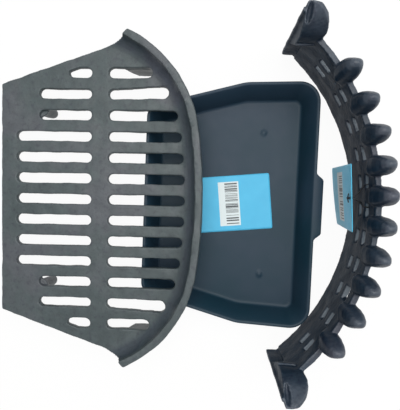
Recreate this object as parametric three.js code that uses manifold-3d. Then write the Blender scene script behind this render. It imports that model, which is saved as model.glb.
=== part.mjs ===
// Sixteen-inch hearth set, laid out in a row as it is unpacked: a cast-iron bottom grate with a curved
// lip, a pressed-steel ash pan with its rear end under the grate, and a cast-iron log fret in front.
// Millimetres, +Z up. The hearth is z = 0, the front of the set faces -Y and its width runs along X.

import * as THREE from 'three';
import { mergeVertices } from 'three/addons/utils/BufferGeometryUtils.js';
import Module from 'manifold-3d';

const wasm = await Module();
wasm.setup();

// ---- Driving dimensions ------------------------------------------------------------------------

// Where the pieces lie, in the grate's own frame, and where that frame's origin is from the set's middle.
const setOffset = { x: 2.9, y: 225.9 };
const panPlace = { x: 0.6, y: -172, turn: -1.25 };
const fretPlace = { x: 1.6, y: -178.8, turn: -1.5 };

// Bottom grate.
const bedTop = 47;
const bedThickness = 7;
const rearEdge = { halfWidth: 138.4, y: 1.9 };
const lipEnd = { halfWidth: 191.5, y: -150 };
const lipFront = 245.4;
const lipTop = 68;
const lipThickness = 8;
const lipFillet = 19;
const crownRadius = 600;
const crownAngle = 8.14;
const shoulderRadius = 147;
const shoulderEndAngle = 65;

const slotRows = 13;
const slotPitch = 25.5;
const slotWidth = 12.5;
const rearSlotEnd = -109.6;
const frontSlotStart = -129.2;
const slotToLip = 21;
const slotFlare = 2.4;
const rearSlotStart = [-16.4, -44.4, -80.6];
const slotToSide = 11.6;

const rearLeg = { x: 111.7, y: -42.5, footRadius: 6, shankRadius: 8.4, rootRadius: 12 };
const frontLeg = {
  foot: { inner: 168, outer: 173, rear: -155, front: -184 },
  root: { inner: 163.5, outer: 174, rear: -147.5, front: -190 },
  rightSetIn: 5,
};

// Ash pan, in its own frame: y = 0 is its rear rim.
const panDepth = 36;
const panLength = 211.5;
const panRearHalfWidth = 116;
const panShoulder = { halfWidth: 149, y: -121 };
const panFrontHalfWidth = 153;
const panSheet = 1.2;
const panWallSlope = 13.5;
const panRim = 1.6;
const panTab = { reach: 8.5, halfWidth: 34, rootHalfWidth: 43 };

// Log fret, in its own frame: the origin is the centre of its curve.
const fretRadius = 258.6;
const fretWall = 4;
const fretWallDraft = 2;
const fretWallTop = 86;
const fretHalfWidth = 203;
const fretEndAngle = 47.4;
const logPitch = 32.8;
const logCount = 10;
const logWidth = 21;
const logProud = 9;
const logDepth = 22;
const logHeadBottom = 70;
const logSquareness = 0.65;
// Heights in the domed head of a log, with its width and depth there as parts of the full ones.
const logHead = [
  { z: 82, across: 1.04, deep: 1 },
  { z: 96, across: 0.97, deep: 0.99 },
  { z: 106, across: 0.8, deep: 0.9 },
  { z: 113, across: 0.57, deep: 0.74 },
  { z: 117.5, across: 0.34, deep: 0.48 },
  { z: 119.5, across: 0.12, deep: 0.18 },
];
const endPlate = { rear: -159.8, front: -178, outer: 198.8, thickness: 4, height: 121 };
const endLog = { rear: -162.5, inner: 178.5, corbelInner: 193, corbelHeight: 42, neckHeight: 76, top: 127 };
const endLogCrown = { radius: 48, x: 228, z: 86 };
const endLogBrow = { radius: 26, y: -164, z: 101 };
const plinth = { height: 12, proud: 5 };
const fretSlots = [{ bottom: 34.5, top: 43.5 }, { bottom: 56, top: 65 }];
const tallSlot = { bay: -3, bottom: 55.5, top: 70.5 };
const fretSlotWidth = 18;

// Cards and tie.
const card = { width: 73, length: 96, thickness: 0.6, hole: 3 };
const gap = 0.3;
const labelPlace = { x: -0.4, y: -114, turn: 6.3 };
const tagPlace = { x: 8.6, y: -405, top: 97, lean: 6.4, turn: 5, holeDrop: 8 };
const tieThickness = 1.2;

// ---- Solids and shapes -------------------------------------------------------------------------

function toSolid(geometry) {
  const bare = geometry.clone();
  bare.deleteAttribute('normal');
  bare.deleteAttribute('uv');
  const merged = mergeVertices(bare, 1e-4);
  return new wasm.Manifold(new wasm.Mesh({
    numProp: 3,
    vertProperties: new Float32Array(merged.attributes.position.array),
    triVerts: new Uint32Array(merged.index.array),
  }));
}

function toGeometry(solid) {
  const mesh = solid.getMesh();
  const geometry = new THREE.BufferGeometry();
  geometry.setAttribute('position', new THREE.BufferAttribute(mesh.vertProperties, 3));
  geometry.setIndex(new THREE.BufferAttribute(mesh.triVerts, 1));
  geometry.computeVertexNormals();
  return geometry;
}

function join(first, ...others) {
  return others.reduce((whole, geometry) => whole.add(toSolid(geometry)), first);
}

function cut(first, ...others) {
  return others.reduce((whole, geometry) => whole.subtract(toSolid(geometry)), first);
}

function prism(outline, bottom, top) {
  const shape = new THREE.Shape(outline);
  const geometry = new THREE.ExtrudeGeometry(shape, { depth: top - bottom, bevelEnabled: false });
  return geometry.translate(0, 0, bottom);
}

// A closed solid through rings of equally many points, each running anticlockwise seen from the last
// ring. capOutline is the ring's shape in its own plane, from which both end caps are made.
function loft(rings, capOutline) {
  const count = rings[0].length;
  const positions = rings.flat().flatMap((point) => [point.x, point.y, point.z]);
  const index = [];
  for (let ring = 0; ring + 1 < rings.length; ring += 1) {
    for (let i = 0; i < count; i += 1) {
      const a = ring * count + i;
      const b = ring * count + ((i + 1) % count);
      index.push(a, b, b + count, a, b + count, a + count);
    }
  }
  const last = (rings.length - 1) * count;
  for (const [a, b, c] of THREE.ShapeUtils.triangulateShape(capOutline, [])) {
    index.push(c, b, a, last + a, last + b, last + c);
  }
  const geometry = new THREE.BufferGeometry();
  geometry.setAttribute('position', new THREE.Float32BufferAttribute(positions, 3));
  geometry.setIndex(index);
  return geometry;
}

function raised(outline, z) {
  return outline.map((point) => new THREE.Vector3(point.x, point.y, z));
}

function polar(centre, radius, degrees) {
  const angle = THREE.MathUtils.degToRad(degrees);
  return new THREE.Vector2(centre.x + radius * Math.sin(angle), centre.y - radius * Math.cos(angle));
}

function steps(from, to, count) {
  return Array.from({ length: count + 1 }, (_, i) => from + ((to - from) * i) / count);
}

// A polygon, given anticlockwise, drawn in by inset and with its corners rounded.
function roundedPolygon(corners, inset, arcSteps) {
  const count = corners.length;
  const points = [];
  for (let i = 0; i < count; i += 1) {
    const corner = corners[i];
    const before = corners[(i + count - 1) % count];
    const after = corners[(i + 1) % count];
    const arriving = new THREE.Vector2(corner.x - before.x, corner.y - before.y).normalize();
    const leaving = new THREE.Vector2(after.x - corner.x, after.y - corner.y).normalize();
    const turn = Math.atan2(arriving.cross(leaving), arriving.dot(leaving));
    const radius = Math.max(corner.radius - inset, 1);
    const inward = new THREE.Vector2(-arriving.y, arriving.x);
    const back = (radius + inset) * Math.tan(turn / 2);
    const centre = new THREE.Vector2(corner.x, corner.y)
      .addScaledVector(arriving, -back)
      .addScaledVector(inward, radius + inset);
    for (const part of steps(0, 1, arcSteps)) {
      const spoke = inward.clone().negate().rotateAround(new THREE.Vector2(), turn * part);
      points.push(centre.clone().addScaledVector(spoke, radius));
    }
  }
  return points;
}

function standing(geometry) {
  return geometry.rotateX(Math.PI / 2);
}

// ---- Bottom grate ------------------------------------------------------------------------------

// The lip's outer curve is a flat crown between two tighter shoulders.
const crownCentre = new THREE.Vector2(0, crownRadius - lipFront);
const shoulderCentre = polar(crownCentre, crownRadius - shoulderRadius, crownAngle);

function lipPoint(degrees, inset) {
  if (Math.abs(degrees) <= crownAngle) {
    return polar(crownCentre, crownRadius - inset, degrees);
  }
  const centre = new THREE.Vector2(Math.sign(degrees) * shoulderCentre.x, shoulderCentre.y);
  return polar(centre, shoulderRadius - inset, degrees);
}

function lipAngles(end, shoulderSteps) {
  return [
    ...steps(-end, -crownAngle, shoulderSteps),
    ...steps(-crownAngle, crownAngle, 14).slice(1, -1),
    ...steps(crownAngle, end, shoulderSteps),
  ];
}

// The y at which the lip's curve, drawn in by inset, crosses the line x.
function lipCrossing(x, inset) {
  const across = Math.abs(x);
  const onCrown = crownCentre.y - Math.sqrt((crownRadius - inset) ** 2 - across ** 2);
  if (across <= (crownRadius - inset) * Math.sin(THREE.MathUtils.degToRad(crownAngle))) {
    return onCrown;
  }
  return shoulderCentre.y - Math.sqrt((shoulderRadius - inset) ** 2 - (across - shoulderCentre.x) ** 2);
}

function grateOutline() {
  return [
    new THREE.Vector2(rearEdge.halfWidth, rearEdge.y),
    new THREE.Vector2(-rearEdge.halfWidth, rearEdge.y),
    new THREE.Vector2(-lipEnd.halfWidth, lipEnd.y),
    ...lipAngles(shoulderEndAngle, 16).map((angle) => lipPoint(angle, 0)),
    new THREE.Vector2(lipEnd.halfWidth, lipEnd.y),
  ];
}

// The lip's section, anticlockwise, as distance in from its outer face and height.
function lipSection() {
  const underside = bedTop - bedThickness;
  const reach = lipThickness + lipFillet;
  const rise = lipTop - bedTop;
  const fillet = steps(0, 90, 6).map((degrees) => {
    const angle = THREE.MathUtils.degToRad(degrees);
    return new THREE.Vector2(reach - lipFillet * Math.sin(angle), bedTop + rise * (1 - Math.cos(angle)));
  });
  return [
    new THREE.Vector2(0, underside),
    new THREE.Vector2(reach, underside),
    ...fillet,
    new THREE.Vector2(1.2, lipTop),
    new THREE.Vector2(0, lipTop - 1.2),
  ];
}

function lip() {
  const section = lipSection();
  const overrun = 8;
  const rings = lipAngles(shoulderEndAngle + overrun, 18).map((angle) => section.map((point) => {
    const place = lipPoint(angle, point.x);
    return new THREE.Vector3(place.x, place.y, point.y);
  }));
  return loft(rings, section);
}

// A round-ended slot along y, whose front end may be wider and stand further out than its rear end.
function slot(x, rear, front, flare = 0) {
  const rearRadius = slotWidth / 2;
  const frontRadius = rearRadius + Math.abs(flare) / 2;
  const outline = [
    ...steps(-90, 90, 8).map((angle) => polar({ x: x + flare, y: front + frontRadius }, frontRadius, angle)),
    ...steps(90, 270, 8).map((angle) => polar({ x, y: rear - rearRadius }, rearRadius, angle)),
  ];
  return prism(outline, 0, lipTop + 10);
}

// Everything further in from the side edges than the margin that the slots keep.
function slotField() {
  const slope = (lipEnd.halfWidth - rearEdge.halfWidth) / (rearEdge.y - lipEnd.y);
  const halfWidth = rearEdge.halfWidth - slotToSide * Math.hypot(1, slope);
  const reach = 400;
  return prism([
    new THREE.Vector2(halfWidth, rearEdge.y),
    new THREE.Vector2(-halfWidth, rearEdge.y),
    new THREE.Vector2(-halfWidth - slope * reach, rearEdge.y - reach),
    new THREE.Vector2(halfWidth + slope * reach, rearEdge.y - reach),
  ], -1, lipTop + 11);
}

// The slots of the rear row start in three steps, further forward towards the sides.
function slotStart(row) {
  const step = [3, 5, 6].findIndex((last) => Math.abs(row) <= last);
  return rearSlotStart[step];
}

function grateSlots() {
  const field = toSolid(slotField());
  const middle = (slotRows - 1) / 2;
  return steps(-middle, middle, slotRows - 1).flatMap((row) => {
    const x = row * slotPitch;
    const flare = Math.abs(row) === 5 ? Math.sign(row) * slotFlare : 0;
    return [
      toSolid(slot(x, slotStart(row), rearSlotEnd)).intersect(field),
      toSolid(slot(x, frontSlotStart, lipCrossing(x, slotToLip), flare)),
    ];
  });
}

function rearGrateLeg(side) {
  const underside = bedTop - bedThickness;
  const profile = [
    new THREE.Vector2(0, 0),
    new THREE.Vector2(rearLeg.footRadius, 0),
    new THREE.Vector2(rearLeg.shankRadius, underside - 9),
    new THREE.Vector2(rearLeg.rootRadius - 1.6, underside - 3),
    new THREE.Vector2(rearLeg.rootRadius, underside),
    new THREE.Vector2(rearLeg.rootRadius, underside + 2),
    new THREE.Vector2(0, underside + 2),
  ];
  return standing(new THREE.LatheGeometry(profile, 20)).translate(side * rearLeg.x, rearLeg.y, 0);
}

function frontGrateLeg(side) {
  const level = ({ inner, outer, rear, front }) => {
    const near = side > 0 ? inner - frontLeg.rightSetIn : -outer;
    const far = side > 0 ? outer - frontLeg.rightSetIn : -inner;
    return [
      { x: near, y: front, radius: 2 },
      { x: far, y: front, radius: 2 },
      { x: far, y: rear, radius: 2 },
      { x: near, y: rear, radius: 2 },
    ];
  };
  const foot = roundedPolygon(level(frontLeg.foot), 0, 2);
  const root = roundedPolygon(level(frontLeg.root), 0, 2);
  return loft([raised(foot, 0), raised(root, bedTop - bedThickness + 2)], foot);
}

function bottomGrate() {
  const outline = grateOutline();
  const bed = toSolid(prism(outline, bedTop - bedThickness, bedTop));
  const trimmed = join(bed, lip()).intersect(toSolid(prism(outline, 0, lipTop + 1)));
  const slotted = grateSlots().reduce((plate, opening) => plate.subtract(opening), trimmed);
  return toGeometry(join(
    slotted,
    rearGrateLeg(-1),
    rearGrateLeg(1),
    frontGrateLeg(-1),
    frontGrateLeg(1),
  ));
}

// ---- Ash pan -----------------------------------------------------------------------------------

function panOutline(inset) {
  return roundedPolygon([
    { x: -panFrontHalfWidth, y: -panLength, radius: 25 },
    { x: panFrontHalfWidth, y: -panLength, radius: 25 },
    { x: panShoulder.halfWidth, y: panShoulder.y, radius: 60 },
    { x: panRearHalfWidth, y: 0, radius: 17 },
    { x: -panRearHalfWidth, y: 0, radius: 17 },
    { x: -panShoulder.halfWidth, y: panShoulder.y, radius: 60 },
  ], inset, 6);
}

function panRing(inset, z) {
  return raised(panOutline(inset), z);
}

function ashPan() {
  const floorCorner = 3;
  const floorInset = panWallSlope + floorCorner;
  const tray = loft([
    panRing(floorInset, 0),
    panRing(panWallSlope, floorCorner * 0.8),
    panRing(panRim, panDepth - 2 * panRim),
    panRing(0, panDepth - 1.5 * panRim),
    panRing(0, panDepth),
    panRing(panRim + panSheet, panDepth),
    panRing(panWallSlope + panSheet, floorCorner * 0.8 + panSheet / 2),
    panRing(floorInset + panSheet / 2, panSheet),
  ], panOutline(floorInset));
  const tab = prism([
    new THREE.Vector2(-panTab.rootHalfWidth, -panLength + 1),
    new THREE.Vector2(-panTab.halfWidth - 4, -panLength - panTab.reach + 1.5),
    new THREE.Vector2(-panTab.halfWidth, -panLength - panTab.reach),
    new THREE.Vector2(panTab.halfWidth, -panLength - panTab.reach),
    new THREE.Vector2(panTab.halfWidth + 4, -panLength - panTab.reach + 1.5),
    new THREE.Vector2(panTab.rootHalfWidth, -panLength + 1),
  ], panDepth - 1.5 * panRim, panDepth);
  return toGeometry(join(toSolid(tray), tab));
}

// ---- Log fret ----------------------------------------------------------------------------------

const fretCentre = { x: 0, y: 0 };

// The wall, whose two faces lean in a little towards the top as a casting's do.
function fretWallBand() {
  const angles = steps(-fretEndAngle, fretEndAngle, 44);
  const level = (inner) => [
    ...angles.map((angle) => polar(fretCentre, inner + fretWallDraft + fretWall, angle)),
    ...[...angles].reverse().map((angle) => polar(fretCentre, inner, angle)),
  ];
  const foot = level(fretRadius);
  return loft([raised(foot, 0), raised(level(fretRadius - fretWallDraft), fretWallTop)], foot);
}

function curvedBand(inner, outer, endAngle, bottom, top) {
  const angles = steps(-endAngle, endAngle, 44);
  return prism([
    ...angles.map((angle) => polar(fretCentre, outer, angle)),
    ...angles.reverse().map((angle) => polar(fretCentre, inner, angle)),
  ], bottom, top);
}

// The section of a log of a given depth, drawn in to parts of its full width and depth. Its sides are
// parallel to y wherever it stands on the curve, and x is its middle.
function logSection(x, depth, across = 1, deep = 1) {
  const middle = -Math.sqrt((fretRadius + fretWall) ** 2 - x ** 2) - logProud + depth / 2;
  return steps(0, 360, 24).slice(0, -1).map((degrees) => {
    const angle = THREE.MathUtils.degToRad(degrees);
    const side = Math.sign(Math.sin(angle)) * Math.abs(Math.sin(angle)) ** logSquareness;
    const front = Math.sign(Math.cos(angle)) * Math.abs(Math.cos(angle)) ** logSquareness;
    return new THREE.Vector2(
      x + (logWidth / 2) * across * side,
      middle - (depth / 2) * deep * front,
    );
  });
}

// A solid cylinder that fills the inside of the curve up to a height.
function insideOfCurve(height) {
  const radius = fretRadius + fretWall / 2;
  return standing(new THREE.CylinderGeometry(radius, radius, 2 * height, 180));
}

// Upright log: its foot and shank stand on the wall's outer face, and its head swells out through the
// wall to the inside and is domed.
function fretLog(x) {
  const section = logSection(x, logProud + fretWall);
  const headRings = [
    raised(section, logHeadBottom),
    ...logHead.map(({ z, across, deep }) => raised(logSection(x, logDepth, across, deep), z)),
  ];
  const shank = toSolid(prism(section, 1, logHeadBottom + 1));
  return cut(shank, insideOfCurve(logHeadBottom)).add(toSolid(loft(headRings, section)));
}

function fretSlot(x, { bottom, top }) {
  const radius = fretRadius + fretWall / 2;
  const box = new THREE.BoxGeometry(fretSlotWidth, 3 * fretWall, top - bottom);
  return box.translate(0, -radius, (bottom + top) / 2).rotateZ(Math.asin(x / radius));
}

// Places across the set, a log's pitch apart and centred on its middle.
function placesAlong(count) {
  const last = ((count - 1) / 2) * logPitch;
  return steps(-last, last, count - 1);
}

// End log: the fret's thick upright end. Outside the wall it runs down to the hearth, and inside the
// wall it grows out of the end plate on a corbel. Its top falls away to the middle and to the front.
function endLogOutline() {
  return roundedPolygon([
    { x: endLog.inner, y: endLog.rear, radius: 2 },
    { x: endLog.inner, y: -182, radius: 2 },
    { x: endLog.inner + 4, y: -189.5, radius: 2 },
    { x: 197, y: -185, radius: 5 },
    { x: fretHalfWidth, y: -177, radius: 6 },
    { x: fretHalfWidth, y: endLog.rear, radius: 2 },
  ], 0, 4);
}

function endLogCorbel() {
  const level = (inner) => [
    new THREE.Vector2(inner, endLog.rear),
    new THREE.Vector2(inner, -182),
    new THREE.Vector2(endPlate.outer - 1, -182),
    new THREE.Vector2(endPlate.outer - 1, endLog.rear),
  ];
  return loft([
    raised(level(endLog.corbelInner), endLog.corbelHeight),
    raised(level(endLog.inner), endLog.neckHeight),
    raised(level(endLog.inner), endLog.neckHeight + 2),
  ], level(endLog.inner));
}

function endLogTopLimit() {
  const neck = new THREE.BoxGeometry(120, 120, endLog.neckHeight).translate(190, -175, endLog.neckHeight / 2);
  const crown = new THREE.CylinderGeometry(endLogCrown.radius, endLogCrown.radius, 80, 96);
  crown.translate(endLogCrown.x, -175, endLogCrown.z);
  const brow = new THREE.CylinderGeometry(endLogBrow.radius, endLogBrow.radius, 80, 64);
  brow.rotateZ(Math.PI / 2).translate(190, endLogBrow.y, endLogBrow.z);
  const shoulders = new THREE.BoxGeometry(80, 80, 60).translate(190, -175, endLogBrow.z - 30);
  return join(toSolid(crown).intersect(join(toSolid(brow), shoulders)), neck);
}

function endLogSolid() {
  const column = prism(endLogOutline(), 0, endLog.top);
  return join(cut(toSolid(column), insideOfCurve(endLog.neckHeight)), endLogCorbel()).intersect(endLogTopLimit());
}

// Flat plate that runs back from each end log.
function fretEndPlate(side) {
  const plate = new THREE.BoxGeometry(endPlate.thickness, endPlate.rear - endPlate.front, endPlate.height);
  const x = side * (endPlate.outer - endPlate.thickness / 2);
  return plate.translate(x, (endPlate.rear + endPlate.front) / 2, endPlate.height / 2);
}

function logFret() {
  const outer = fretRadius + fretWall;
  const wall = toSolid(fretWallBand());
  const openings = placesAlong(logCount + 1).flatMap((x) => fretSlots.map((level) => fretSlot(x, level)));
  openings.push(fretSlot(tallSlot.bay * logPitch, tallSlot));
  const base = curvedBand(outer - 1, outer + plinth.proud, fretEndAngle - 4, 0, plinth.height);
  const logs = placesAlong(logCount).map(fretLog);
  const ends = [endLogSolid(), endLogSolid().mirror([1, 0, 0])];
  const walled = join(cut(wall, ...openings), base, fretEndPlate(-1), fretEndPlate(1));
  return toGeometry([...logs, ...ends].reduce((whole, log) => whole.add(log), walled));
}

// ---- Cards and tie -----------------------------------------------------------------------------

// A card lying flat, its middle at the origin, with a punched hole near one end if it is tied on.
function cardSheet(holeDrop) {
  const halfWidth = card.width / 2;
  const halfLength = card.length / 2;
  const corner = 2;
  const outline = roundedPolygon([
    { x: -halfWidth, y: -halfLength, radius: corner },
    { x: halfWidth, y: -halfLength, radius: corner },
    { x: halfWidth, y: halfLength, radius: corner },
    { x: -halfWidth, y: halfLength, radius: corner },
  ], 0, 3);
  const sheet = toSolid(prism(outline, 0, card.thickness));
  if (holeDrop === undefined) {
    return toGeometry(sheet);
  }
  const punch = standing(new THREE.CylinderGeometry(card.hole / 2, card.hole / 2, 10, 12));
  return toGeometry(cut(sheet, punch.translate(0, halfLength - holeDrop, 0)));
}

// Places in the fret's own frame that the tie runs through: the tag's hole, the bays on both sides of
// one upright and round the front of that upright.
function tieRoute(hole) {
  const upright = logPitch / 2;
  const sillHeight = fretSlots[1].bottom + 5;
  const inside = -fretRadius + 6;
  const outside = -fretRadius - fretWall - logProud - 2.2;
  const reach = logWidth / 2 + 3;
  return [
    new THREE.Vector3(hole.x, hole.y - 1, hole.z),
    new THREE.Vector3(hole.x - 2, hole.y - 7, hole.z),
    new THREE.Vector3(upright - reach, inside, sillHeight + 2),
    new THREE.Vector3(upright - reach, -fretRadius - fretWall, sillHeight),
    new THREE.Vector3(upright - reach + 3, outside + 4, sillHeight),
    new THREE.Vector3(upright, outside, sillHeight),
    new THREE.Vector3(upright + reach - 3, outside + 4, sillHeight),
    new THREE.Vector3(upright + reach, -fretRadius - fretWall, sillHeight),
    new THREE.Vector3(upright + reach, inside, sillHeight + 2),
    new THREE.Vector3(hole.x + 3, hole.y - 7, hole.z),
    new THREE.Vector3(hole.x + 1, hole.y - 1, hole.z),
  ];
}

function tie(hole) {
  const radius = tieThickness / 2;
  const section = steps(0, 360, 8).slice(0, -1).map((angle) => polar({ x: 0, y: 0 }, radius, angle));
  const cord = new THREE.ExtrudeGeometry(new THREE.Shape(section), {
    steps: 60,
    bevelEnabled: false,
    extrudePath: new THREE.CatmullRomCurve3(tieRoute(hole)),
  });
  const knot = new THREE.SphereGeometry(2, 10, 8).translate(hole.x + 0.5, hole.y - 1.5, hole.z);
  return toGeometry(join(toSolid(cord), knot));
}

// ---- Assembly ----------------------------------------------------------------------------------

function finish(color, roughness, metalness) {
  return new THREE.MeshStandardMaterial({ color, roughness, metalness, flatShading: true });
}

function named(name, geometry, material) {
  const mesh = new THREE.Mesh(geometry, material);
  mesh.name = name;
  return mesh;
}

function placed(place) {
  const holder = new THREE.Group();
  holder.position.set(place.x, place.y, 0);
  holder.rotation.z = THREE.MathUtils.degToRad(place.turn);
  return holder;
}

function inFretFrame(point) {
  const away = new THREE.Vector2(point.x - fretPlace.x, point.y - fretPlace.y);
  away.rotateAround(new THREE.Vector2(), -THREE.MathUtils.degToRad(fretPlace.turn));
  return new THREE.Vector3(away.x, away.y, point.z);
}

const group = new THREE.Group();
group.position.set(setOffset.x, setOffset.y, 0);

group.add(named('bottom_grate', bottomGrate(), finish(0x525d61, 0.75, 0.4)));

const panHolder = placed(panPlace);
panHolder.add(named('ash_pan', ashPan(), finish(0x2a323c, 0.45, 0.3)));
const label = named('shelf_label', cardSheet(), finish(0x55bee4, 0.5, 0));
label.position.set(labelPlace.x, labelPlace.y, panSheet + gap);
label.rotation.z = THREE.MathUtils.degToRad(labelPlace.turn);
panHolder.add(label);
group.add(panHolder);

const fretHolder = placed(fretPlace);
fretHolder.add(named('log_fret', logFret(), finish(0x232d3a, 0.6, 0.4)));

const lean = THREE.MathUtils.degToRad(tagPlace.lean);
const tagTop = inFretFrame({ x: tagPlace.x, y: tagPlace.y, z: tagPlace.top });
const tag = named('hang_tag', cardSheet(tagPlace.holeDrop), finish(0x5aa5c8, 0.5, 0));
const tagTurn = THREE.MathUtils.degToRad(tagPlace.turn - fretPlace.turn);
const downTheTag = new THREE.Vector3(0, -Math.sin(lean), -Math.cos(lean));
downTheTag.applyAxisAngle(new THREE.Vector3(0, 0, 1), tagTurn);
tag.position.copy(tagTop).addScaledVector(downTheTag, card.length / 2);
tag.rotation.order = 'ZXY';
tag.rotation.x = Math.PI / 2 - lean;
tag.rotation.z = tagTurn;
fretHolder.add(tag);
const tagHole = tagTop.clone().addScaledVector(downTheTag, tagPlace.holeDrop);
fretHolder.add(named('tag_tie', tie(tagHole.add(new THREE.Vector3(0, -1.4, 0))), finish(0x15161a, 0.8, 0)));
group.add(fretHolder);

export default group;
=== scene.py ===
from math import atan2, cos, hypot, pi, radians, sin, tan

import bmesh
import bpy
from mathutils import Matrix, Vector, noise


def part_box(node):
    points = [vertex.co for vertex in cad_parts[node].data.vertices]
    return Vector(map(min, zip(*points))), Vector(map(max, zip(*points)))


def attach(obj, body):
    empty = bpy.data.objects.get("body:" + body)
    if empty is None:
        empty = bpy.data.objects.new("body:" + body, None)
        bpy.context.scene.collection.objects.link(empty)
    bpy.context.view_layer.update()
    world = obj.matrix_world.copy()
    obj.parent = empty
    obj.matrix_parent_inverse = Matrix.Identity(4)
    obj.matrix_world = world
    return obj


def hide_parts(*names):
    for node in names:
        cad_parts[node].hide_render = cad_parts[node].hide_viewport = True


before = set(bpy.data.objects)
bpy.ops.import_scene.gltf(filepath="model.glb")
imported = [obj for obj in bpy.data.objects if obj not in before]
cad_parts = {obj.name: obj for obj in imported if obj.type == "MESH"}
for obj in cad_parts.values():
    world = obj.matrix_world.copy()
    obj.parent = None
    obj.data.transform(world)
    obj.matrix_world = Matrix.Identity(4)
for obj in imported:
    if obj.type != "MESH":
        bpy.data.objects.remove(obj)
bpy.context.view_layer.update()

MM = 0.001

# ---- Sizes and places, in millimetres unless said otherwise --------------------------------------

# The pan's own frame has its origin in the middle of its rear rim, and the fret's has it at the
# centre of its curve. The turns are in degrees.
PAN_PLACE = {"x": 3.5, "y": 53.9, "turn": -1.25}
FRET_PLACE = {"x": 4.5, "y": 47.1, "turn": -1.5}

# The castings' skin: its voxels, triangles and smoothing, then its swell, waves and pits.
CASTING_VOXEL = 1.0
CASTING_TRIANGLES = 180_000
CASTING_SMOOTHING = 4
CASTING_SWELL = 0.35
WAVE_LENGTH = 16.0
WAVE_DEPTH = 0.7
PITTING_LENGTH = 3.0
PITTING_DEPTH = 0.16

# Hollows in the tops of the fret's end logs, in the fret's own frame, behind a thin rear rim.
LOG_HOLLOWS = ((195.0, -166.2), (-193.5, -165.8))
HOLLOW_HALF_SIZE = (8.0, 3.2)
HOLLOW_DEPTH = 7.0
HOLLOW_LOWEST = 98.0

PAN_DEPTH = 36.0
PAN_LENGTH = 211.5
PAN_REAR_HALF_WIDTH = 116.0
PAN_SHOULDER = (149.0, -121.0)
PAN_FRONT_HALF_WIDTH = 153.0
PAN_RADII = {"front": 25.0, "shoulder": 60.0, "rear": 17.0}
PAN_SHEET = 1.2
PAN_WALL_RUN = 13.5
PAN_WALL_LEAN = 20.0
PAN_CORNER = 5.0
PAN_CORNER_SHIFT = 1.0
PAN_BEAD = 1.7
PAN_LAP = ((1.6, 0.25), (2.6, 1.0))
PAN_TAB = {"reach": 8.5, "half_width": 37.0, "corner": 5.0}
PAN_ARC_STEPS = 12
PAN_STEP = 2.6
PAN_FLOOR_RINGS = 56
PAN_FLOOR_MIDDLE = 0.56
PAN_FLOOR_WAVE_LENGTH = 70.0
PAN_FLOOR_WAVE_HEIGHT = 0.25
PAN_FLOOR_EDGE_SHARE = 0.125
DIMPLES = ((93.0, -148.5), (-93.0, -151.0))
DIMPLE_RADIUS = 5.5
DIMPLE_HEIGHT = 1.7
DIMPLE_FULLNESS = 0.8
SHARPEST_RADIUS = 1.0

CARD = {"width": 73.0, "length": 96.0, "thickness": 0.6, "corner": 2.0, "hole": 1.5}
HOLE_MARGIN = 1.0
CARD_COLUMNS = 30
CARD_ROWS = 40
LABEL_PLACE = {"x": -0.4, "y": -114.0, "z": 1.5, "turn": 6.3}
LABEL_CURL = 0.7
LABEL_CURL_SHARES = (0.6, 0.4)
TAG_TOP = (11.5, -179.1, 97.0)
TAG_LEAN = 6.4
TAG_TURN = 5.0
TAG_HOLE_DROP = 8.0
TAG_BOW = 1.0
TAG_TWIST = 1.2

# What is printed on a card, in millimetres from its middle, with its holed end up.
PRINT_PANEL = {"across": (-28.5, 29.5), "along": (-20.0, 7.0)}
PRINT_BARS = {"across": (-27.0, 27.5), "along": (-11.5, 5.0)}
BARE_SHARE = 0.52

FRET_RADIUS = 258.6
FRET_WALL = 4.0
LOG_PITCH = 32.8
LOG_WIDTH = 21.0
LOG_PROUD = 9.0
TIE_SILL = 56.0
TIE_RADIUS = 0.6
TIE_ABOVE_SILL = 5.0
TIE_RISE_INSIDE = 2.0
TIE_INSIDE_WALL = 6.0
TIE_OFF_LOG = 2.2
TIE_BESIDE_LOG = 3.0
TIE_ROUNDING = (3.0, 4.0)
TIE_BEHIND_TAG = 8.0
KNOT = {"turns": 2, "steps": 9, "half_width": 1.3, "half_height": 1.5, "from_hole": 2.2, "spread": 0.3}
TAIL_POINTS = ((0.6, 2.2, 0.0), (2.6, 2.9, 2.2), (4.6, 3.1, 4.6))

# The height above the hearth that the materials' height ramps cover.
HEIGHT_RANGE = 130.0

CAMERA_PLACE = (16.7, -33.6, 506.4)
CAMERA_TILT = (-2.1767, 2.1723, 1.1297)
CAMERA_LENS = 33.44

# The studio, in metres and watts.
WORLD_AMBIENT = 0.40
SOFTBOX = {"place": (0.30, -0.20, 1.3), "target": (0.0, -0.05, 0.0), "size": 1.3, "power": 18.5}
SIDE_SOFTBOX = {"place": (0.2, -1.3, 0.8), "target": (0.0, -0.1, 0.0), "size": 0.8, "power": 3.0}
FLOOR_HALF_SIZE = 3.0
FLOOR_DROP = 0.0004
FLOOR_BRIGHTENING = 0.94
WHITE = (1.0, 1.0, 1.0)


# ---- Camera, light and stage ----------------------------------------------------------------------

def add_camera():
    camera = bpy.data.objects.new("camera", bpy.data.cameras.new("camera"))
    bpy.context.scene.collection.objects.link(camera)
    camera.data.lens = CAMERA_LENS
    about_x, about_y, about_z = (radians(angle) for angle in CAMERA_TILT)
    tilt = (
        Matrix.Rotation(about_z, 4, "Z")
        @ Matrix.Rotation(about_y, 4, "Y")
        @ Matrix.Rotation(about_x, 4, "X")
    )
    quarter_turn = Matrix.Rotation(radians(-90), 4, "Z")
    camera.matrix_world = Matrix.Translation(Vector(CAMERA_PLACE) * MM) @ quarter_turn @ tilt
    bpy.context.scene.camera = camera


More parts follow.
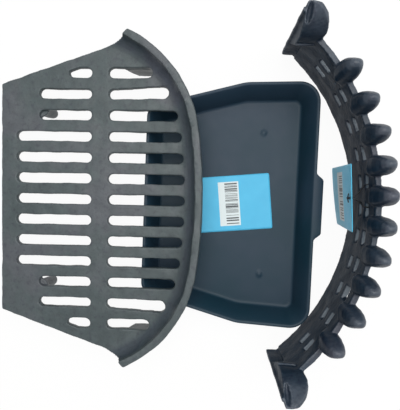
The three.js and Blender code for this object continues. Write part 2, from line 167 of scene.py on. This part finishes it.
def add_area_light(name, place, target, size, power):
    lamp = bpy.data.lights.new(name, "AREA")
    lamp.shape = "SQUARE"
    lamp.size = size
    lamp.energy = power
    lamp.color = (1.0, 0.99, 0.97)
    holder = bpy.data.objects.new(name, lamp)
    bpy.context.scene.collection.objects.link(holder)
    holder.location = place
    holder.rotation_euler = (Vector(target) - Vector(place)).to_track_quat("-Z", "Y").to_euler()


def seen_directly(tree):
    """1 for rays that show the background itself, by sight, gloss or glass, and 0 for lighting."""
    path = tree.nodes.new("ShaderNodeLightPath")
    either = tree.nodes.new("ShaderNodeMath")
    either.operation = "MAXIMUM"
    tree.links.new(path.outputs["Is Camera Ray"], either.inputs[0])
    tree.links.new(path.outputs["Is Glossy Ray"], either.inputs[1])
    all_three = tree.nodes.new("ShaderNodeMath")
    all_three.operation = "MAXIMUM"
    tree.links.new(either.outputs[0], all_three.inputs[0])
    tree.links.new(path.outputs["Is Transmission Ray"], all_three.inputs[1])
    return all_three.outputs[0]


def add_world(ambient):
    world = bpy.data.worlds.new("studio")
    world.use_nodes = True
    tree = world.node_tree
    background = tree.nodes["Background"]
    background.inputs["Strength"].default_value = 1.0
    shade = tree.nodes.new("ShaderNodeMix")
    shade.data_type = "RGBA"
    shade.inputs["A"].default_value = (ambient, ambient, ambient, 1.0)
    shade.inputs["B"].default_value = (*WHITE, 1.0)
    tree.links.new(seen_directly(tree), shade.inputs["Factor"])
    tree.links.new(shade.outputs["Result"], background.inputs["Color"])
    bpy.context.scene.world = world


def add_floor(half_size, brightening):
    mesh = bpy.data.meshes.new("floor")
    corners = [(-1, -1), (1, -1), (1, 1), (-1, 1)]
    points = [(x * half_size, y * half_size, -FLOOR_DROP) for x, y in corners]
    mesh.from_pydata(points, [], [(0, 1, 2, 3)])
    floor = bpy.data.objects.new("floor", mesh)
    bpy.context.scene.collection.objects.link(floor)
    material = bpy.data.materials.new("floor_paper")
    material.use_nodes = True
    tree = material.node_tree
    tree.nodes.clear()
    output = tree.nodes.new("ShaderNodeOutputMaterial")
    paper = tree.nodes.new("ShaderNodeBsdfDiffuse")
    paper.inputs["Color"].default_value = (0.92, 0.92, 0.92, 1.0)
    glow = tree.nodes.new("ShaderNodeEmission")
    glow.inputs["Color"].default_value = (*WHITE, 1.0)
    share = tree.nodes.new("ShaderNodeMath")
    share.operation = "MULTIPLY"
    share.inputs[1].default_value = brightening
    tree.links.new(seen_directly(tree), share.inputs[0])
    blend = tree.nodes.new("ShaderNodeMixShader")
    tree.links.new(share.outputs[0], blend.inputs["Fac"])
    tree.links.new(paper.outputs["BSDF"], blend.inputs[1])
    tree.links.new(glow.outputs["Emission"], blend.inputs[2])
    tree.links.new(blend.outputs["Shader"], output.inputs["Surface"])
    mesh.materials.append(material)


# ---- Material helpers -----------------------------------------------------------------------------

class Surface:
    """A Principled material and short ways to add procedural nodes to it. Lengths are in metres."""

    def __init__(self, name, **even):
        self.material = bpy.data.materials.new(name)
        self.material.use_nodes = True
        self.tree = self.material.node_tree
        self.tree.nodes.clear()
        output = self.tree.nodes.new("ShaderNodeOutputMaterial")
        self.shader = self.tree.nodes.new("ShaderNodeBsdfPrincipled")
        self.tree.links.new(self.shader.outputs["BSDF"], output.inputs["Surface"])
        for socket, value in even.items():
            self.shader.inputs[socket.replace("_", " ")].default_value = value
        self.coordinates = self.tree.nodes.new("ShaderNodeTexCoord").outputs["Object"]

    def link(self, source, target):
        self.tree.links.new(source, target)

    def noise(self, wavelength, detail=4.0, roughness=0.55):
        texture = self.tree.nodes.new("ShaderNodeTexNoise")
        texture.inputs["Scale"].default_value = 1.0 / wavelength
        texture.inputs["Detail"].default_value = detail
        texture.inputs["Roughness"].default_value = roughness
        self.link(self.coordinates, texture.inputs["Vector"])
        return texture.outputs["Fac"]

    def ramp(self, source, *stops):
        """A ramp whose stops are a place from 0 to 1 and a colour or a single value."""
        ramp = self.tree.nodes.new("ShaderNodeValToRGB")
        elements = ramp.color_ramp.elements
        while len(elements) < len(stops):
            elements.new(0.5)
        for element, (place, value) in zip(elements, stops):
            element.position = place
            colour = value if isinstance(value, tuple) else (value,) * 3
            element.color = (*colour, 1.0)
        self.link(source, ramp.inputs["Fac"])
        return ramp.outputs["Color"]

    def mix(self, factor, first, second, blend="MIX"):
        mix = self.tree.nodes.new("ShaderNodeMix")
        mix.data_type = "RGBA"
        mix.blend_type = blend
        for value, socket in ((factor, "Factor"), (first, "A"), (second, "B")):
            if isinstance(value, bpy.types.NodeSocket):
                self.link(value, mix.inputs[socket])
            elif isinstance(value, tuple):
                mix.inputs[socket].default_value = (*value, 1.0)
            else:
                mix.inputs[socket].default_value = value
        return mix.outputs["Result"]

    def maths(self, operation, first, second=0.0):
        node = self.tree.nodes.new("ShaderNodeMath")
        node.operation = operation
        for index, value in enumerate((first, second)):
            if isinstance(value, bpy.types.NodeSocket):
                self.link(value, node.inputs[index])
            else:
                node.inputs[index].default_value = value
        return node.outputs[0]

    def edges(self, start, end):
        """From 0 on flat and hollow places to 1 on sharp outer edges."""
        geometry = self.tree.nodes.new("ShaderNodeNewGeometry")
        return self.ramp(geometry.outputs["Pointiness"], (start, 0.0), (end, 1.0))

    def height(self, *stops):
        """A ramp over the height above the hearth. The stops give heights in millimetres."""
        apart = self.tree.nodes.new("ShaderNodeSeparateXYZ")
        self.link(self.coordinates, apart.inputs["Vector"])
        share = self.maths("DIVIDE", apart.outputs["Z"], HEIGHT_RANGE * MM)
        return self.ramp(share, *((height / HEIGHT_RANGE, value) for height, value in stops))

    def facing_up(self, start, end):
        """From 0 on walls and undersides to 1 on surfaces that face straight up."""
        geometry = self.tree.nodes.new("ShaderNodeNewGeometry")
        apart = self.tree.nodes.new("ShaderNodeSeparateXYZ")
        self.link(geometry.outputs["Normal"], apart.inputs["Vector"])
        return self.ramp(apart.outputs["Z"], (start, 0.0), (end, 1.0))

    def bump(self, height, distance, strength, below=None):
        node = self.tree.nodes.new("ShaderNodeBump")
        node.inputs["Strength"].default_value = strength
        node.inputs["Distance"].default_value = distance
        self.link(height, node.inputs["Height"])
        if below is not None:
            self.link(below, node.inputs["Normal"])
        return node.outputs["Normal"]

    def colour(self, source):
        self.link(source, self.shader.inputs["Base Color"])

    def roughness(self, source):
        self.link(source, self.shader.inputs["Roughness"])

    def specular(self, source):
        self.link(source, self.shader.inputs["Specular IOR Level"])

    def normal(self, source):
        self.link(source, self.shader.inputs["Normal"])


def cast_iron(name, hues, edge, dull, glossy, specular):
    """Painted sand casting: a mottled dark coat, a grainy skin and edges a little lighter, partly wear
    and partly a painted highlight.

    Gives the surface and its coat's colour, for a casting's own touches.
    """
    iron = Surface(name, Specular_IOR_Level=specular)
    clouds = iron.ramp(iron.noise(0.075, 3.0, 0.55), *zip((0.36, 0.50, 0.64), hues))
    mottle = iron.ramp(iron.noise(0.012, 5.0, 0.6), (0.3, 0.84), (0.7, 1.12))
    skin = iron.mix(1.0, clouds, mottle, "MULTIPLY")
    stains = iron.ramp(iron.noise(0.006, 4.0, 0.65), (0.34, (0.74, 0.72, 0.82)), (0.45, WHITE))
    skin = iron.mix(1.0, skin, stains, "MULTIPLY")
    specks = iron.ramp(iron.noise(0.0022, 3.0, 0.7), (0.30, 0.66), (0.42, 1.0))
    skin = iron.mix(1.0, skin, specks, "MULTIPLY")
    # Sharp edges are painted lighter: partly wear, partly a painted highlight.
    patchy = iron.ramp(iron.noise(0.006), (0.3, 0.35), (0.7, 1.0))
    worn_and_highlit = iron.maths("MULTIPLY", iron.edges(0.515, 0.60), patchy)
    skin = iron.mix(worn_and_highlit, skin, edge)
    iron.roughness(iron.ramp(iron.noise(0.02, 4.0), (0.3, dull), (0.7, glossy)))
    coarse = iron.bump(iron.noise(0.0045, 3.0, 0.6), 0.0005, 0.35)
    iron.normal(iron.bump(iron.noise(0.0011, 2.0, 0.6), 0.0002, 0.5, coarse))
    return iron, skin


def grate_iron():
    """The grate's coat, with painted shade in the hollow in front of its lip."""
    iron, skin = cast_iron(
        "grate_iron",
        ((0.034, 0.049, 0.053), (0.044, 0.061, 0.065), (0.057, 0.066, 0.076)),
        edge=(0.090, 0.104, 0.116), dull=0.58, glossy=0.46, specular=0.5,
    )
    # Painted shade: a darker, bluer band over the heights of the hollow in front of the lip.
    painted_fillet_shade = iron.height(
        (47.6, WHITE), (51.0, (0.60, 0.64, 0.78)), (61.0, (0.60, 0.66, 0.78)), (65.5, WHITE)
    )
    iron.colour(iron.mix(1.0, skin, painted_fillet_shade, "MULTIPLY"))
    return iron.material


def fret_iron():
    """The fret's darker coat: its walls duller and darker in painted shade, its upward faces glossier
    and left lighter, and painted light on its slots' sills.
    """
    iron, skin = cast_iron(
        "fret_iron",
        ((0.034, 0.048, 0.068), (0.039, 0.052, 0.072), (0.049, 0.055, 0.075)),
        # The edge colour is set bright as a painted highlight on the rims.
        edge=(0.150, 0.170, 0.200), dull=0.44, glossy=0.34, specular=0.2,
    )
    # Painted shade: faces that do not point up are darker and bluer than the upward faces.
    upper = iron.facing_up(0.12, 0.65)
    painted_wall_shade = iron.mix(1.0, skin, (0.36, 0.52, 0.63), "MULTIPLY")
    skin = iron.mix(upper, painted_wall_shade, skin)
    iron.specular(iron.ramp(iron.facing_up(0.0, 1.0), (0.12, 0.03), (0.65, 0.30)))
    # Painted light: upward faces at the slots' heights, the sills, are turned a light grey.
    slot_heights = iron.height((28.0, 0.0), (31.0, 1.0), (64.0, 1.0), (66.0, 0.0))
    painted_sill_light = iron.maths("MULTIPLY", iron.facing_up(0.75, 0.95), slot_heights)
    iron.colour(iron.mix(painted_sill_light, skin, (0.17, 0.205, 0.24)))
    return iron.material


def pan_enamel():
    """Satin powder coat on pressed steel, with faint orange peel and a rim a little lighter on its sharp
    edges.
    """
    coat = Surface("pan_enamel", Specular_IOR_Level=0.22)
    clouds = coat.ramp(
        coat.noise(0.09, 2.0), (0.35, (0.007, 0.028, 0.045)), (0.65, (0.016, 0.034, 0.056))
    )
    dust = coat.ramp(coat.noise(0.0016, 3.0, 0.7), (0.60, 0.0), (0.80, 0.35))
    skin = coat.mix(dust, clouds, (0.050, 0.062, 0.078))
    coat.colour(coat.mix(coat.edges(0.53, 0.62), skin, (0.075, 0.095, 0.110)))
    coat.roughness(coat.ramp(coat.noise(0.012, 4.0, 0.6), (0.3, 0.40), (0.75, 0.46)))
    coat.normal(coat.bump(coat.noise(0.0014, 1.0), 0.0001, 0.35))
    return coat.material


def card_stock(name, tints, specular, bar_step=None):
    """Coated card in two blues. With a bar step it has a white panel of plain bars."""
    stock = Surface(name, Specular_IOR_Level=specular)
    tint = stock.ramp(stock.noise(0.02, 3.0), *zip((0.3, 0.7), tints))
    if bar_step:
        layout = stock.tree.nodes.new("ShaderNodeUVMap")
        layout.uv_map = "card_mm"
        apart = stock.tree.nodes.new("ShaderNodeSeparateXYZ")
        stock.link(layout.outputs["UV"], apart.inputs["Vector"])
        across, along = apart.outputs["X"], apart.outputs["Y"]

        def within(value, low, high):
            above = stock.maths("GREATER_THAN", value, low)
            below = stock.maths("LESS_THAN", value, high)
            return stock.maths("MULTIPLY", above, below)

        def inside(area):
            within_width = within(across, *area["across"])
            return stock.maths("MULTIPLY", within_width, within(along, *area["along"]))

        panel = inside(PRINT_PANEL)
        bars_area = inside(PRINT_BARS)
        step = stock.maths("FLOOR", stock.maths("DIVIDE", across, bar_step))
        fine = stock.tree.nodes.new("ShaderNodeTexWhiteNoise")
        fine.noise_dimensions = "1D"
        stock.link(step, fine.inputs["W"])
        bar = stock.maths("GREATER_THAN", fine.outputs["Value"], BARE_SHARE)
        bars = stock.maths("MULTIPLY", bar, bars_area)
        tint = stock.mix(panel, tint, (0.68, 0.76, 0.78))
        tint = stock.mix(bars, tint, (0.09, 0.10, 0.11))
    stock.colour(tint)
    stock.roughness(stock.ramp(stock.noise(0.008, 3.0), (0.3, 0.34), (0.7, 0.44)))
    stock.normal(stock.bump(stock.noise(0.0012, 2.0), 0.0001, 0.12))
    return stock.material


def tie_nylon():
    """Black nylon cord with a faint weave."""
    nylon = Surface("tie_nylon", Specular_IOR_Level=0.4)
    weave = nylon.noise(0.002, 3.0)
    nylon.colour(nylon.ramp(weave, (0.3, (0.007, 0.008, 0.010)), (0.7, (0.016, 0.017, 0.020))))
    nylon.roughness(nylon.ramp(nylon.noise(0.003), (0.3, 0.45), (0.7, 0.65)))
    nylon.normal(nylon.bump(nylon.noise(0.0005, 2.0), 0.0001, 0.5))
    return nylon.material


# ---- Mesh helpers ---------------------------------------------------------------------------------

def add_piece(name, mesh, materials, body, node):
    piece = bpy.data.objects.new(name, mesh)
    bpy.context.scene.collection.objects.link(piece)
    for material in materials:
        mesh.materials.append(material)
    mesh.polygons.foreach_set("use_smooth", [True] * len(mesh.polygons))
    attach(piece, body)
    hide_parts(node)
    return piece


def applied(piece):
    """The piece's mesh with its modifiers, as new data, and the piece itself removed."""
    graph = bpy.context.evaluated_depsgraph_get()
    mesh = bpy.data.meshes.new_from_object(piece.evaluated_get(graph))
    bpy.data.objects.remove(piece)
    return mesh


def with_modifiers(mesh, *modifiers):
    piece = bpy.data.objects.new("work", mesh)
    bpy.context.scene.collection.objects.link(piece)
    for kind, settings in modifiers:
        modifier = piece.modifiers.new(kind.lower(), kind)
        for setting, value in settings.items():
            setattr(modifier, setting, value)
    return applied(piece)


def turned(point, degrees):
    angle = radians(degrees)
    return (point[0] * cos(angle) - point[1] * sin(angle), point[0] * sin(angle) + point[1] * cos(angle))


def placed(points, place):
    """Points of a piece's own frame, in millimetres, as points of the row frame in metres."""
    result = []
    for x, y, z in points:
        along, across = turned((x, y), place["turn"])
        result.append(Vector((along + place["x"], across + place["y"], z)) * MM)
    return result


# ---- Castings -------------------------------------------------------------------------------------

def hollow_drop(point):
    """How far a point of the fret, in row-frame millimetres, sinks into a hollow of an end log."""
    if point.z < HOLLOW_LOWEST:
        return 0.0
    x, y = turned((point.x - FRET_PLACE["x"], point.y - FRET_PLACE["y"]), -FRET_PLACE["turn"])
    for hollow_x, hollow_y in LOG_HOLLOWS:
        away = hypot((x - hollow_x) / HOLLOW_HALF_SIZE[0], (y - hollow_y) / HOLLOW_HALF_SIZE[1])
        if away < 1.0:
            return HOLLOW_DEPTH * (1.0 - away ** 2) ** 0.7
    return 0.0


def casting_mesh(node, drop=lambda point: 0.0):
    """The CAD node's shape with the rounded edges and the wavy, pitted skin of a sand casting."""
    low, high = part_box(node)
    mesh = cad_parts[node].data.copy()
    mesh.materials.clear()
    mesh = with_modifiers(
        mesh,
        ("REMESH", {"mode": "VOXEL", "voxel_size": CASTING_VOXEL * MM, "adaptivity": 0.0}),
        ("SMOOTH", {"factor": 0.5, "iterations": CASTING_SMOOTHING}),
    )
    mesh.update()
    normals = [vertex.normal.copy() for vertex in mesh.vertices]
    for vertex, normal in zip(mesh.vertices, normals):
        place = vertex.co / MM
        wave = noise.noise(place / WAVE_LENGTH) * WAVE_DEPTH
        pitting = noise.fractal(place / PITTING_LENGTH, 1.0, 2.0, 2) * PITTING_DEPTH
        moved = vertex.co + normal * ((wave + pitting + CASTING_SWELL) * MM)
        moved.z -= drop(place) * MM
        for axis in range(3):
            moved[axis] = min(max(moved[axis], low[axis]), high[axis])
        vertex.co = moved
    triangles = sum(len(polygon.vertices) - 2 for polygon in mesh.polygons)
    if triangles > CASTING_TRIANGLES:
        share = CASTING_TRIANGLES / triangles
        mesh = with_modifiers(mesh, ("DECIMATE", {"ratio": share}))
    return mesh


def add_castings():
    grate = casting_mesh("bottom_grate")
    add_piece("grate_casting", grate, [grate_iron()], "grate", "bottom_grate")
    fret = casting_mesh("log_fret", hollow_drop)
    add_piece("fret_casting", fret, [fret_iron()], "fret", "log_fret")


# ---- Ash pan --------------------------------------------------------------------------------------

PAN_CORNERS = (
    (-PAN_FRONT_HALF_WIDTH, -PAN_LENGTH, PAN_RADII["front"]),
    (PAN_FRONT_HALF_WIDTH, -PAN_LENGTH, PAN_RADII["front"]),
    (*PAN_SHOULDER, PAN_RADII["shoulder"]),
    (PAN_REAR_HALF_WIDTH, 0.0, PAN_RADII["rear"]),
    (-PAN_REAR_HALF_WIDTH, 0.0, PAN_RADII["rear"]),
    (-PAN_SHOULDER[0], PAN_SHOULDER[1], PAN_RADII["shoulder"]),
)


def rounded_outline(corners, inset):
    """A polygon, given anticlockwise, drawn in by inset and with its corners rounded.

    It has the same number of points at every inset.
    """
    arcs = []
    for index, (x, y, radius) in enumerate(corners):
        before = Vector(corners[index - 1][:2])
        after = Vector(corners[(index + 1) % len(corners)][:2])
        corner = Vector((x, y))
        arriving = (corner - before).normalized()
        leaving = (after - corner).normalized()
        turn = atan2(arriving.x * leaving.y - arriving.y * leaving.x, arriving.dot(leaving))
        inner_radius = max(radius - inset, SHARPEST_RADIUS)
        back = (inner_radius + inset) * tan(turn / 2)
        outward = Vector((arriving.y, -arriving.x))
        centre = corner - arriving * back - outward * (inner_radius + inset)
        angles = [turn * step / PAN_ARC_STEPS * 180 / pi for step in range(PAN_ARC_STEPS + 1)]
        arcs.append([centre + Vector(turned(outward, angle)) * inner_radius for angle in angles])
    outline = []
    for index, arc in enumerate(arcs):
        outline.extend(arc)
        following = (index + 1) % len(arcs)
        apart = (Vector(corners[following][:2]) - Vector(corners[index][:2])).length
        count = round(apart / PAN_STEP)
        outline.extend(arc[-1].lerp(arcs[following][0], step / count) for step in range(1, count))
    return outline


def arc_section(centre, radius, start, end, count):
    """Points of an arc in a section, as inset and height, from one angle to another in degrees."""
    angles = [radians(start + (end - start) * step / count) for step in range(count + 1)]
    return [(centre[0] + radius * cos(angle), centre[1] + radius * sin(angle)) for angle in angles]


def pan_section():
    """The pressing's section from the middle of its underside, round the rim, to its upper floor edge.

    Each point is a distance in from the rim's outline and a height.
    """
    corner_inset = PAN_WALL_RUN + PAN_CORNER + PAN_CORNER_SHIFT
    wall_angle = 180 + PAN_WALL_LEAN
    underside = arc_section((corner_inset, PAN_CORNER), PAN_CORNER, 270, wall_angle, 5)
    bead = arc_section((PAN_BEAD, PAN_DEPTH - PAN_BEAD), PAN_BEAD, 250, 70, 8)
    lap = [(PAN_BEAD + inwards, PAN_DEPTH - down) for inwards, down in PAN_LAP]
    inner = arc_section((corner_inset, PAN_CORNER + PAN_SHEET), PAN_CORNER, wall_angle, 270, 6)
    return underside, bead + lap + inner


def pan_floor_height(x, y):
    """How far the floor rises at a place of the pan, by its faint waves and its two dimples."""
    height = PAN_FLOOR_WAVE_HEIGHT * noise.noise(Vector((x, y, 0.0)) / PAN_FLOOR_WAVE_LENGTH)
    for dimple_x, dimple_y in DIMPLES:
        away = hypot(x - dimple_x, y - dimple_y) / DIMPLE_RADIUS
        if away < 1.0:
            height += DIMPLE_HEIGHT * (0.5 + 0.5 * cos(pi * away)) ** DIMPLE_FULLNESS
    return height


def tab_reach(x):
    """How far the front rim's bead is drawn out at x, to make the finger tab."""
    beside = abs(x) - PAN_TAB["half_width"]
    share = min(max((beside + PAN_TAB["corner"]) / (2 * PAN_TAB["corner"]), 0.0), 1.0)
    return PAN_TAB["reach"] * (0.5 + 0.5 * cos(pi * share))


def pan_rings():
    """The section's points, each as a ring round the pan, with the tab drawn out of the bead."""
    underside, upper = pan_section()
    rings = []
    for inset, height in underside:
        rings.append([(*point, height) for point in rounded_outline(PAN_CORNERS, inset)])
    for inset, height in upper:
        ring = []
        on_bead = inset <= PAN_BEAD and height > PAN_DEPTH / 2
        for x, y in rounded_outline(PAN_CORNERS, inset):
            if on_bead and y < -PAN_LENGTH + 2 * PAN_BEAD:
                y -= tab_reach(x)
            ring.append((x, y, height))
        rings.append(ring)
    return rings


def grid_faces(ring_count, size):
    """Four-sided faces between neighbouring rings of points."""
    faces = []
    for ring in range(ring_count - 1):
        for index in range(size):
            a = ring * size + index
            b = ring * size + (index + 1) % size
            faces.append((a, b, b + size, a + size))
    return faces


def pan_mesh():
    """The pressing: its walls and rim as rings, and its floor as rings that shrink to its middle."""
    rings = pan_rings()
    middle = Vector((0.0, -PAN_LENGTH * PAN_FLOOR_MIDDLE))
    edge = [Vector(point[:2]) for point in rings[-1]]
    under_edge = [Vector(point[:2]) for point in rings[0]]

    def floor_ring(around, share, base):
        ring = []
        for point in around:
            x, y = middle.lerp(point, share)
            fade = min(1.0, (1.0 - share) / PAN_FLOOR_EDGE_SHARE)
            ring.append((x, y, base + max(0.0, pan_floor_height(x, y)) * fade))
        return ring

    shares = [step / PAN_FLOOR_RINGS for step in range(1, PAN_FLOOR_RINGS)]
    below = [floor_ring(under_edge, share, 0.0) for share in shares]
    above = [floor_ring(edge, share, PAN_SHEET) for share in reversed(shares)]
    rings = below + rings + above
    size = len(edge)
    points = [point for ring in rings for point in ring]
    faces = grid_faces(len(rings), size)
    last = (len(rings) - 1) * size
    points.append((middle.x, middle.y, 0.0))
    points.append((middle.x, middle.y, PAN_SHEET))
    for index in range(size):
        after = (index + 1) % size
        faces.append((len(points) - 2, after, index))
        faces.append((len(points) - 1, last + index, last + after))
    mesh = bpy.data.meshes.new("pan_pressing")
    mesh.from_pydata(placed(points, PAN_PLACE), [], faces)
    work = bmesh.new()
    work.from_mesh(mesh)
    bmesh.ops.recalc_face_normals(work, faces=work.faces)
    work.to_mesh(mesh)
    work.free()
    return mesh


def add_pan():
    add_piece("pan_pressing", pan_mesh(), [pan_enamel()], "pan", "ash_pan")


# ---- Cards and tie --------------------------------------------------------------------------------

def card_mesh(name, matrix, materials, bend, hole):
    """A thin card in its own frame, x across and y along, bent by a function and placed by a matrix.

    Its map holds millimetres from the card's middle, with the hole's end up. The materials are those
    of its upper face, its lower face and its edge.
    """
    half_width, half_length = CARD["width"] / 2, CARD["length"] / 2
    hole_place = Vector((0.0, half_length - TAG_HOLE_DROP))
    work = bmesh.new()
    bmesh.ops.create_grid(work, x_segments=CARD_COLUMNS, y_segments=CARD_ROWS, size=1.0)
    for vertex in work.verts:
        x, y = vertex.co.x * half_width, vertex.co.y * half_length
        over_x = abs(x) - (half_width - CARD["corner"])
        over_y = abs(y) - (half_length - CARD["corner"])
        if over_x > 0 and over_y > 0:
            drawn_in = CARD["corner"] / max(hypot(over_x, over_y), CARD["corner"])
            x -= (over_x - over_x * drawn_in) * (1 if x > 0 else -1)
            y -= (over_y - over_y * drawn_in) * (1 if y > 0 else -1)
        vertex.co = (x, y, 0.0)
    if hole:
        def at_hole(face):
            return (face.calc_center_median().xy - hole_place).length < CARD["hole"] + HOLE_MARGIN

        near = [face for face in work.faces if at_hole(face)]
        rim = {vertex for face in near for vertex in face.verts}
        bmesh.ops.delete(work, geom=near, context="FACES")
        for vertex in rim:
            if vertex.is_valid and vertex.is_boundary:
                away = vertex.co.xy - hole_place
                vertex.co.xy = hole_place + away.normalized() * CARD["hole"]
    mesh = bpy.data.meshes.new(name)
    work.to_mesh(mesh)
    work.free()
    layout = mesh.uv_layers.new(name="card_mm")
    for loop in mesh.loops:
        x, y, _ = mesh.vertices[loop.vertex_index].co
        layout.data[loop.index].uv = (x, y)
    for vertex in mesh.vertices:
        vertex.co.z = bend(vertex.co.x, vertex.co.y)
    for material in materials:
        mesh.materials.append(material)
    mesh = with_modifiers(
        mesh,
        ("SOLIDIFY", {
            "thickness": CARD["thickness"],
            "offset": 1.0,
            "material_offset": 1,
            "material_offset_rim": 2,
        }),
    )
    for vertex in mesh.vertices:
        vertex.co = (matrix @ vertex.co) * MM
    return mesh


def label_matrix():
    """Where the label lies: on the pan's floor, with its upper end towards the fret."""
    at_pan = Matrix.Translation((PAN_PLACE["x"], PAN_PLACE["y"], 0.0))
    pan_turn = Matrix.Rotation(radians(PAN_PLACE["turn"]), 4, "Z")
    on_floor = Matrix.Translation((LABEL_PLACE["x"], LABEL_PLACE["y"], LABEL_PLACE["z"]))
    label_turn = Matrix.Rotation(radians(LABEL_PLACE["turn"]), 4, "Z")
    half_turn = Matrix.Rotation(pi, 4, "Z")
    return at_pan @ pan_turn @ on_floor @ label_turn @ half_turn


def tag_down():
    """The direction from the tag's top edge to its bottom edge."""
    lean = radians(TAG_LEAN)
    return Matrix.Rotation(radians(TAG_TURN), 3, "Z") @ Vector((0.0, -sin(lean), -cos(lean)))


def tag_matrix():
    middle = Vector(TAG_TOP) + tag_down() * CARD["length"] / 2
    return (
        Matrix.Translation(middle)
        @ Matrix.Rotation(radians(TAG_TURN), 4, "Z")
        @ Matrix.Rotation(pi / 2 - radians(TAG_LEAN), 4, "X")
    )


def add_cards():
    label_tints = ((0.080, 0.455, 0.720), (0.090, 0.490, 0.755))
    tag_tints = ((0.130, 0.600, 0.860), (0.150, 0.640, 0.900))
    label_print = card_stock("label_print", label_tints, specular=0.2, bar_step=0.62)
    tag_print = card_stock("tag_print", tag_tints, specular=0.08, bar_step=1.25)
    plain = card_stock("card_plain", label_tints, specular=0.2)

    def label_bend(x, y):
        even, sideways = LABEL_CURL_SHARES
        across, along = x / (CARD["width"] / 2), y / (CARD["length"] / 2)
        return LABEL_CURL * abs(along) ** 4 * (even + sideways * across)

    def tag_bend(x, y):
        across, along = x / (CARD["width"] / 2), y / (CARD["length"] / 2)
        return TAG_BOW * across ** 2 * (0.5 - 0.5 * along) + TAG_TWIST * across * along

    label = card_mesh("label_card", label_matrix(), [label_print, plain, plain], label_bend, False)
    add_piece("label_card", label, [], "pan", "shelf_label")
    tag = card_mesh("tag_card", tag_matrix(), [plain, tag_print, plain], tag_bend, True)
    add_piece("tag_card", tag, [], "tag", "hang_tag")


def tie_route():
    """Through the tag's hole and two neighbouring bays, round the front of one log, in the row frame."""
    hole = Vector(TAG_TOP) + tag_down() * TAG_HOLE_DROP
    log_x = LOG_PITCH / 2
    sill = TIE_SILL + TIE_ABOVE_SILL
    wall = -FRET_RADIUS - FRET_WALL
    inside = TIE_INSIDE_WALL - FRET_RADIUS
    outside = wall - LOG_PROUD - TIE_OFF_LOG
    reach = LOG_WIDTH / 2 + TIE_BESIDE_LOG
    round_x, round_y = TIE_ROUNDING
    round_the_log = placed([
        (log_x - reach, inside, sill + TIE_RISE_INSIDE),
        (log_x - reach, wall, sill),
        (log_x - reach + round_x, outside + round_y, sill),
        (log_x, outside, sill),
        (log_x + reach - round_x, outside + round_y, sill),
        (log_x + reach, wall, sill),
        (log_x + reach, inside, sill + TIE_RISE_INSIDE),
    ], FRET_PLACE)
    at_hole = ((-1.0, 1.6, 0.6), (-0.6, -1.0, 0.0), (-2.0, -TIE_BEHIND_TAG, -0.5))
    back_at_hole = ((3.0, -TIE_BEHIND_TAG, -0.5), (0.6, -1.0, 0.0), (1.0, 1.6, 0.6))
    starting = [(hole + Vector(offset)) * MM for offset in at_hole]
    ending = [(hole + Vector(offset)) * MM for offset in back_at_hole]
    return starting + round_the_log + ending, hole * MM


def tube_mesh(name, points, radius, closed):
    """A round tube of the given radius along a smooth curve near the points, in metres."""
    curve = bpy.data.curves.new(name, "CURVE")
    curve.dimensions = "3D"
    curve.bevel_depth = radius
    curve.bevel_resolution = 3
    curve.resolution_u = 6
    curve.use_fill_caps = True
    spline = curve.splines.new("NURBS")
    spline.points.add(len(points) - 1)
    for knot, point in zip(spline.points, points):
        knot.co = (*point, 1.0)
    spline.order_u = 3
    spline.use_cyclic_u = closed
    spline.use_endpoint_u = True
    piece = bpy.data.objects.new("work", curve)
    bpy.context.scene.collection.objects.link(piece)
    return applied(piece)


def knot_points(hole):
    """The turns of the tie's knot, at the hole on the tag's side towards the pan."""
    points = []
    for step in range(KNOT["turns"] * KNOT["steps"] + 1):
        angle = 2 * pi * step / KNOT["steps"]
        x = KNOT["half_width"] * cos(angle)
        y = KNOT["from_hole"] + KNOT["spread"] * sin(angle * 0.5)
        points.append(hole + Vector((x, y, KNOT["half_height"] * sin(angle))) * MM)
    return points


def add_tie():
    route, hole = tie_route()
    parts = [
        tube_mesh("tie_loop", route, TIE_RADIUS * MM, True),
        tube_mesh("tie_knot", knot_points(hole), TIE_RADIUS * MM, False),
    ]
    for side in (-1.0, 1.0):
        tail = [hole + Vector((x * side, y, z)) * MM for x, y, z in TAIL_POINTS]
        parts.append(tube_mesh("tie_tail", tail, TIE_RADIUS * MM, False))
    work = bmesh.new()
    for part in parts:
        work.from_mesh(part)
    mesh = bpy.data.meshes.new("tie_cord")
    work.to_mesh(mesh)
    work.free()
    add_piece("tie_cord", mesh, [tie_nylon()], "fret", "tag_tie")


# ---- Scene ----------------------------------------------------------------------------------------

add_camera()
add_world(WORLD_AMBIENT)
add_area_light("softbox", **SOFTBOX)
add_area_light("side_softbox", **SIDE_SOFTBOX)
add_floor(FLOOR_HALF_SIZE, FLOOR_BRIGHTENING)
add_castings()
add_pan()
add_cards()
add_tie()
bpy.context.scene.view_settings.view_transform = "Standard"
